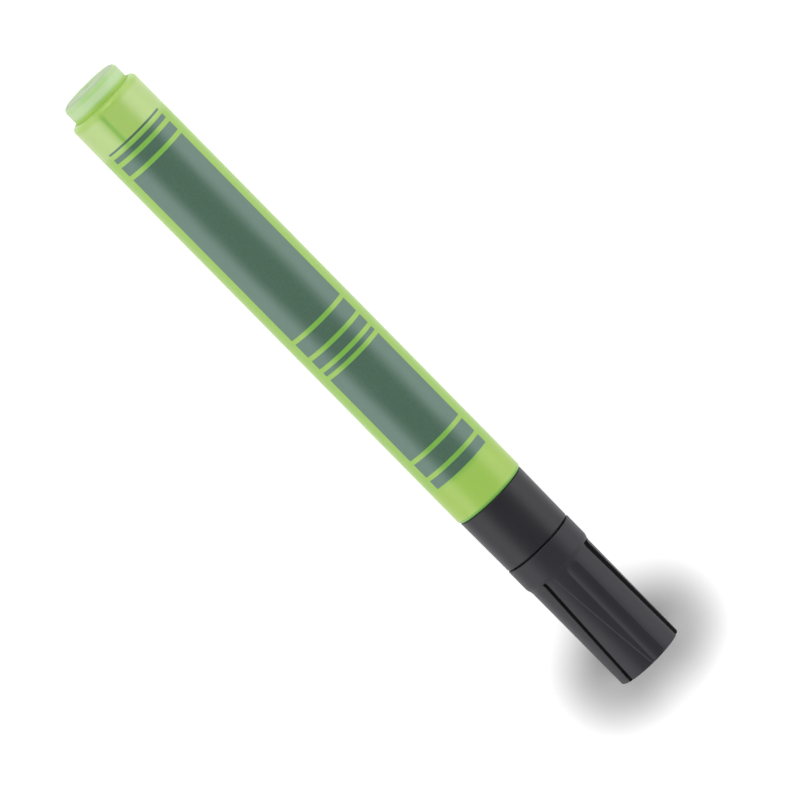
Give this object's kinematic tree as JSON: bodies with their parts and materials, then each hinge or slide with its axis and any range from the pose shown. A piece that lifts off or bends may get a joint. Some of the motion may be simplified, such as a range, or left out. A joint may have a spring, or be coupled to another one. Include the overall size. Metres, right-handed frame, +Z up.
{
  "type": "paint marker",
  "caption": "Capped paint marker: translucent lime barrel with a frosted tail stub, black collar, fluted black cap, felt nib and spring valve.",
  "frame": {"origin": "on the surface the marker lies on, under the middle of its length", "axes": "+X along the marker from tail to cap, +Z up through the printed side"},
  "size_m": [0.138, 0.0144, 0.0144],
  "materials": {
    "lime_plastic": "translucent lime, smooth",
    "frosted_plastic": "frosted pale green",
    "black_plastic": "moulded black, satin gloss",
    "cap_plastic": "moulded black, satin gloss",
    "liner_plastic": "natural white",
    "valve_plastic": "natural white",
    "nib_felt": "pressed felt, soaked with paint",
    "ball_steel": "polished",
    "spring_steel": "bright wire"
  },
  "bodies": {
    "barrel": {"barrel": "lime_plastic", "tail_plug": "frosted_plastic", "valve_housing": "valve_plastic", "valve_seat": "valve_plastic", "valve_spring": "spring_steel", "front_section": "black_plastic"},
    "nib": {"nib": "nib_felt", "valve_stem": "valve_plastic"},
    "ball": {"mixing_ball": "ball_steel"},
    "cap": {"cap": "cap_plastic", "cap_liner": "liner_plastic"}
  },
  "joints": [
    {"name": "cap_pull", "type": "slide", "parent": "barrel", "child": "cap", "axis": [1, 0, 0], "range_m": [0, 0.035]},
    {"name": "nib_press", "type": "slide", "parent": "barrel", "child": "nib", "axis": [-1, 0, 0], "range_m": [0, 0.0018], "stiffness_N_per_m": 500, "deforming": ["valve_spring"]},
    {"name": "ball_roll", "type": "slide", "parent": "barrel", "child": "ball", "axis": [1, 0, 0], "range_m": [-0.0214, 0.0414]}
  ]
}
